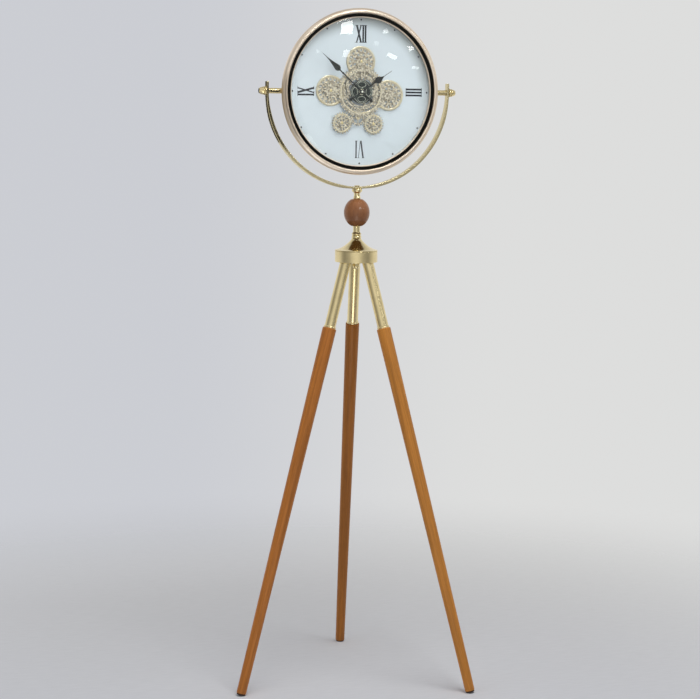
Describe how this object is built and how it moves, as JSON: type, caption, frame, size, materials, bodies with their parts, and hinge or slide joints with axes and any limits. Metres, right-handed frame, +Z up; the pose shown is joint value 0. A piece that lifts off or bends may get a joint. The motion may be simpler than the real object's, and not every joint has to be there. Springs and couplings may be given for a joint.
{
  "type": "tripod floor clock",
  "caption": "Floor clock on a hinged wooden tripod, with a round case that tilts in a curved yoke and an open wheel train in front of the dial.",
  "frame": {"origin": "middle of the bounding box, on the floor", "axes": "+Z up, the dial looks along -Y, the tilt axis runs along X"},
  "size_m": [0.5392, 0.5266, 1.5519],
  "materials": {
    "brass": "polished, olive gold",
    "champagne": "polished champagne gold",
    "wood": "satin varnish, orange brown",
    "ball_wood": "gloss varnish, dark brown",
    "rubber": "matt",
    "black_gloss": "gloss black",
    "glass": "clear",
    "dial": "silvery pale blue",
    "wheel_gold": "bright pale gold",
    "mirror": "dark teal mirror",
    "silver": "polished",
    "hand_black": "satin black",
    "steel": "zinc plated",
    "plastic": "matt black",
    "cell": "printed sleeve"
  },
  "bodies": {
    "base": {"hub_ring": "brass", "hub_core": "brass", "hub_cap": "brass", "stem_lower": "brass", "stem_ball": "ball_wood", "stem_upper": "brass", "tie_bolt": "brass", "cap_nut": "brass", "leg_left_pin": "steel", "leg_right_pin": "steel", "leg_rear_pin": "steel"},
    "leg_left": {"leg_left_knuckle": "brass", "leg_left_tube": "brass", "leg_left_wood": "wood", "leg_left_pad": "rubber"},
    "leg_right": {"leg_right_knuckle": "brass", "leg_right_tube": "brass", "leg_right_wood": "wood", "leg_right_pad": "rubber"},
    "leg_rear": {"leg_rear_knuckle": "brass", "leg_rear_tube": "brass", "leg_rear_wood": "wood", "leg_rear_pad": "rubber"},
    "yoke": {"yoke": "brass"},
    "knob_left": {"knob_left": "brass"},
    "knob_right": {"knob_right": "brass"},
    "case": {"pivot_post_left": "brass", "pivot_post_right": "brass", "pivot_nut_left": "steel", "pivot_nut_right": "steel", "case_shell": "champagne", "bezel": "champagne", "black_ring": "black_gloss", "glass": "glass", "dial_spacer": "champagne", "dial": "dial", "back_cover": "plastic", "movement": "plastic", "gear_motor": "steel", "battery_tray": "plastic", "battery": "cell", "hand_bush": "brass", "gear_bridge": "wheel_gold", "centre_disc": "mirror", "centre_cross": "silver"},
    "minute_hand": {"minute_hand": "hand_black", "hand_nut": "brass"},
    "hour_hand": {"hour_hand": "hand_black"},
    "setting_knob": {"setting_knob": "plastic"},
    "centre_wheel": {"centre_wheel": "wheel_gold", "centre_rear_wheel": "wheel_gold"},
    "top_wheel": {"top_wheel": "wheel_gold", "top_pinion": "wheel_gold"},
    "left_wheel": {"left_wheel": "wheel_gold", "left_pinion": "wheel_gold"},
    "right_wheel": {"right_wheel": "wheel_gold", "right_pinion": "wheel_gold"},
    "idler_wheel": {"idler_wheel": "wheel_gold"},
    "lower_left_wheel": {"lower_left_wheel": "wheel_gold"},
    "lower_right_wheel": {"lower_right_wheel": "wheel_gold"}
  },
  "joints": [
    {"name": "leg_rear_fold", "type": "hinge", "parent": "base", "child": "leg_rear", "pos_m": [0.03923, -0.01488, 0.9886], "axis": [-0.9677, 0.2521, 0], "range_deg": [0, 15.7]},
    {"name": "leg_right_fold", "type": "hinge", "parent": "base", "child": "leg_right", "pos_m": [0.05119, -0.0583, 0.9886], "axis": [0.7022, 0.712, 0], "range_deg": [0, 15.7]},
    {"name": "leg_left_fold", "type": "hinge", "parent": "base", "child": "leg_left", "pos_m": [0.00761, -0.04695, 0.9886], "axis": [0.2656, -0.9641, 0], "range_deg": [0, 15.7]},
    {"name": "head_swivel", "type": "hinge", "parent": "base", "child": "yoke", "pos_m": [0.03268, -0.04004, 1.15], "axis": [0, 0, 1], "continuous": true},
    {"name": "case_tilt", "type": "hinge", "parent": "yoke", "child": "case", "pos_m": [0.03268, -0.04004, 1.3639], "axis": [1, 0, 0], "continuous": true},
    {"name": "knob_left_turn", "type": "hinge", "parent": "yoke", "child": "knob_left", "pos_m": [-0.19242, -0.04004, 1.3639], "axis": [1, 0, 0], "continuous": true},
    {"name": "knob_right_turn", "type": "hinge", "parent": "yoke", "child": "knob_right", "pos_m": [0.25778, -0.04004, 1.3639], "axis": [1, 0, 0], "continuous": true},
    {"name": "minute_hand_turn", "type": "hinge", "parent": "case", "child": "minute_hand", "pos_m": [0.03268, -0.04004, 1.3639], "axis": [0, 1, 0], "continuous": true},
    {"name": "hour_hand_turn", "type": "hinge", "parent": "case", "child": "hour_hand", "pos_m": [0.03268, -0.04004, 1.3639], "axis": [0, 1, 0], "continuous": true},
    {"name": "setting_knob_turn", "type": "hinge", "parent": "case", "child": "setting_knob", "pos_m": [0.03268, -0.04004, 1.3489], "axis": [0, 1, 0], "continuous": true},
    {"name": "centre_wheel_turn", "type": "hinge", "parent": "case", "child": "centre_wheel", "pos_m": [0.03268, -0.04004, 1.3639], "axis": [0, 1, 0], "continuous": true},
    {"name": "top_wheel_turn", "type": "hinge", "parent": "case", "child": "top_wheel", "pos_m": [0.03268, -0.04004, 1.4319], "axis": [0, 1, 0], "continuous": true},
    {"name": "left_wheel_turn", "type": "hinge", "parent": "case", "child": "left_wheel", "pos_m": [-0.0393, -0.04004, 1.36579], "axis": [0, 1, 0], "continuous": true},
    {"name": "right_wheel_turn", "type": "hinge", "parent": "case", "child": "right_wheel", "pos_m": [0.1013, -0.04004, 1.35669], "axis": [0, 1, 0], "continuous": true},
    {"name": "idler_wheel_turn", "type": "hinge", "parent": "case", "child": "idler_wheel", "pos_m": [0.02671, -0.04004, 1.3052], "axis": [0, 1, 0], "continuous": true},
    {"name": "lower_left_wheel_turn", "type": "hinge", "parent": "case", "child": "lower_left_wheel", "pos_m": [-0.01154, -0.04004, 1.29351], "axis": [0, 1, 0], "continuous": true},
    {"name": "lower_right_wheel_turn", "type": "hinge", "parent": "case", "child": "lower_right_wheel", "pos_m": [0.06425, -0.04004, 1.29139], "axis": [0, 1, 0], "continuous": true}
  ],
  "couplings": [
    {"joint": "hour_hand_turn", "follows": "minute_hand_turn", "ratio": 0.083333},
    {"joint": "setting_knob_turn", "follows": "minute_hand_turn", "ratio": 1},
    {"joint": "top_wheel_turn", "follows": "centre_wheel_turn", "ratio": -4.6667},
    {"joint": "left_wheel_turn", "follows": "centre_wheel_turn", "ratio": -3.5},
    {"joint": "right_wheel_turn", "follows": "centre_wheel_turn", "ratio": -4.3077},
    {"joint": "idler_wheel_turn", "follows": "centre_wheel_turn", "ratio": -2.4706},
    {"joint": "lower_left_wheel_turn", "follows": "centre_wheel_turn", "ratio": 1.8261},
    {"joint": "lower_right_wheel_turn", "follows": "centre_wheel_turn", "ratio": 1.8261}
  ]
}
